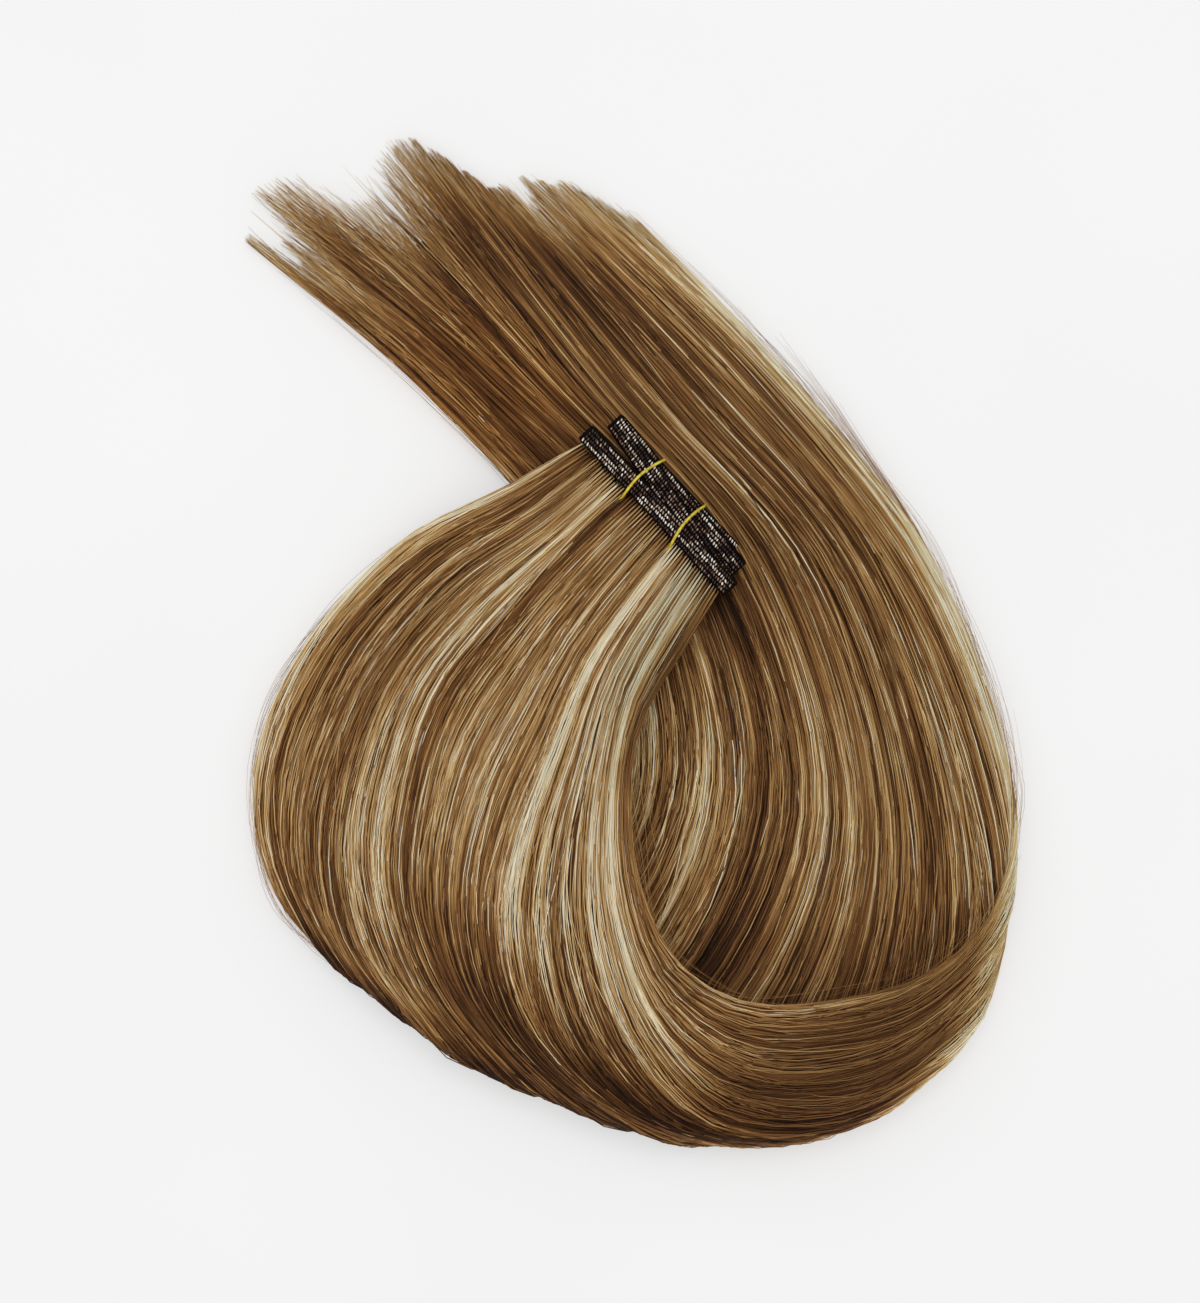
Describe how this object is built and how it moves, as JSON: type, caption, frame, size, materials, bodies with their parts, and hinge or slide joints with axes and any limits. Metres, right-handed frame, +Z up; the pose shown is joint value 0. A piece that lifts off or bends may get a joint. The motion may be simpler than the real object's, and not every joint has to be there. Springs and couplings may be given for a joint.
{
  "type": "hair weft",
  "caption": "Long straight highlighted hair weft lying in a loop, its sewn track folded into a stack and held with thin elastic ties.",
  "frame": {"origin": "on the surface that the weft lies on, below the middle of its bounding box", "axes": "+Z up from the surface, +Y towards the hair's tips, +X to the side on which the loop turns back"},
  "size_m": [0.216, 0.2804, 0.0203],
  "materials": {
    "hair": "straight brown and blonde hair with a soft gloss",
    "track": "rows of dark sewing thread",
    "tie": "glossy golden yellow elastic"
  },
  "bodies": {
    "root": {"hair_lock_left": "hair", "hair_lock_middle": "hair", "hair_lock_right": "hair", "weft_strip": "track", "tie_upper": "tie", "tie_lower": "tie"}
  },
  "joints": []
}
